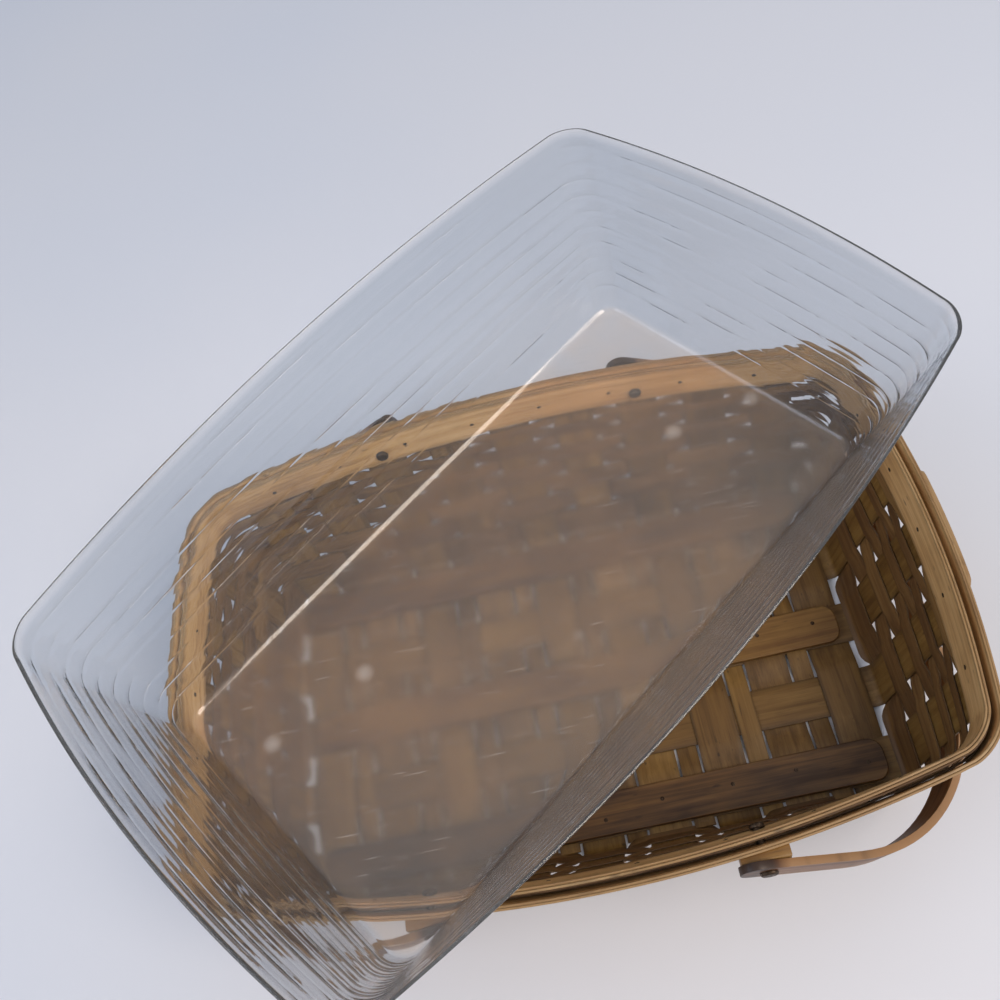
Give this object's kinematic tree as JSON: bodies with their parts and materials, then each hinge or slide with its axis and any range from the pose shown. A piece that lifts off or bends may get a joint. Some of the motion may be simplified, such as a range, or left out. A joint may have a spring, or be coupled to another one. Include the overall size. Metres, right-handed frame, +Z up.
{
  "type": "gathering basket",
  "caption": "Rectangular splint-woven gathering basket with flared bowed sides, two bentwood swing handles and a clear tray liner lying across the rim",
  "frame": {"origin": "middle of the base, on the surface that the basket stands on", "axes": "+X along the length to the right end, +Y to the back, +Z up"},
  "size_m": [0.5304, 0.4974, 0.2833],
  "materials": {
    "splint_wood": "smooth split wood",
    "weaver_wood": "smooth split wood",
    "band_wood": "satin stained wood",
    "board_wood": "satin stained wood",
    "pin_metal": "dark",
    "handle_wood": "satin stained wood",
    "liner_plastic": "clear, scuffed"
  },
  "bodies": {
    "basket": {"lengthwise_splint_1": "splint_wood", "lengthwise_splint_2": "splint_wood", "lengthwise_splint_3": "splint_wood", "lengthwise_splint_4": "splint_wood", "lengthwise_splint_5": "splint_wood", "crosswise_splint_1": "splint_wood", "crosswise_splint_2": "splint_wood", "crosswise_splint_3": "splint_wood", "crosswise_splint_4": "splint_wood", "crosswise_splint_5": "splint_wood", "crosswise_splint_6": "splint_wood", "crosswise_splint_7": "splint_wood", "crosswise_splint_8": "splint_wood", "crosswise_splint_9": "splint_wood", "filler_splint_1": "splint_wood", "filler_splint_2": "splint_wood", "filler_splint_3": "splint_wood", "filler_splint_4": "splint_wood", "filler_splint_5": "splint_wood", "filler_splint_6": "splint_wood", "filler_splint_7": "splint_wood", "filler_splint_8": "splint_wood", "weaver_row_1": "weaver_wood", "weaver_row_2": "weaver_wood", "weaver_row_3": "weaver_wood", "weaver_row_4": "weaver_wood", "weaver_row_5": "weaver_wood", "weaver_row_6": "weaver_wood", "weaver_row_7": "weaver_wood", "weaver_row_8": "weaver_wood", "weaver_row_9": "weaver_wood", "weaver_row_top": "weaver_wood", "rim_band_inner": "band_wood", "rim_band_outer": "band_wood", "rim_band_lap": "band_wood", "runner_board_front": "board_wood", "runner_board_middle": "board_wood", "runner_board_back": "board_wood", "pivot_block_left_front": "board_wood", "pivot_block_left_back": "board_wood", "pivot_block_right_front": "board_wood", "pivot_block_right_back": "board_wood", "pivot_pin_left_front": "pin_metal", "pivot_pin_left_back": "pin_metal", "pivot_pin_right_front": "pin_metal", "pivot_pin_right_back": "pin_metal"},
    "handle_left": {"handle_left": "handle_wood"},
    "handle_right": {"handle_right": "handle_wood"},
    "liner": {"liner": "liner_plastic"}
  },
  "joints": [
    {"name": "handle_right_swing", "type": "hinge", "parent": "basket", "child": "handle_right", "pos_m": [0.0952, 0, 0.132], "axis": [0, -1, 0], "range_deg": [0, 30]},
    {"name": "handle_left_swing", "type": "hinge", "parent": "basket", "child": "handle_left", "pos_m": [-0.0952, 0, 0.132], "axis": [0, 1, 0], "range_deg": [0, 30]},
    {"name": "liner_lift", "type": "slide", "parent": "basket", "child": "liner", "axis": [0, 0, 1], "range_m": [0, 0.25]}
  ]
}
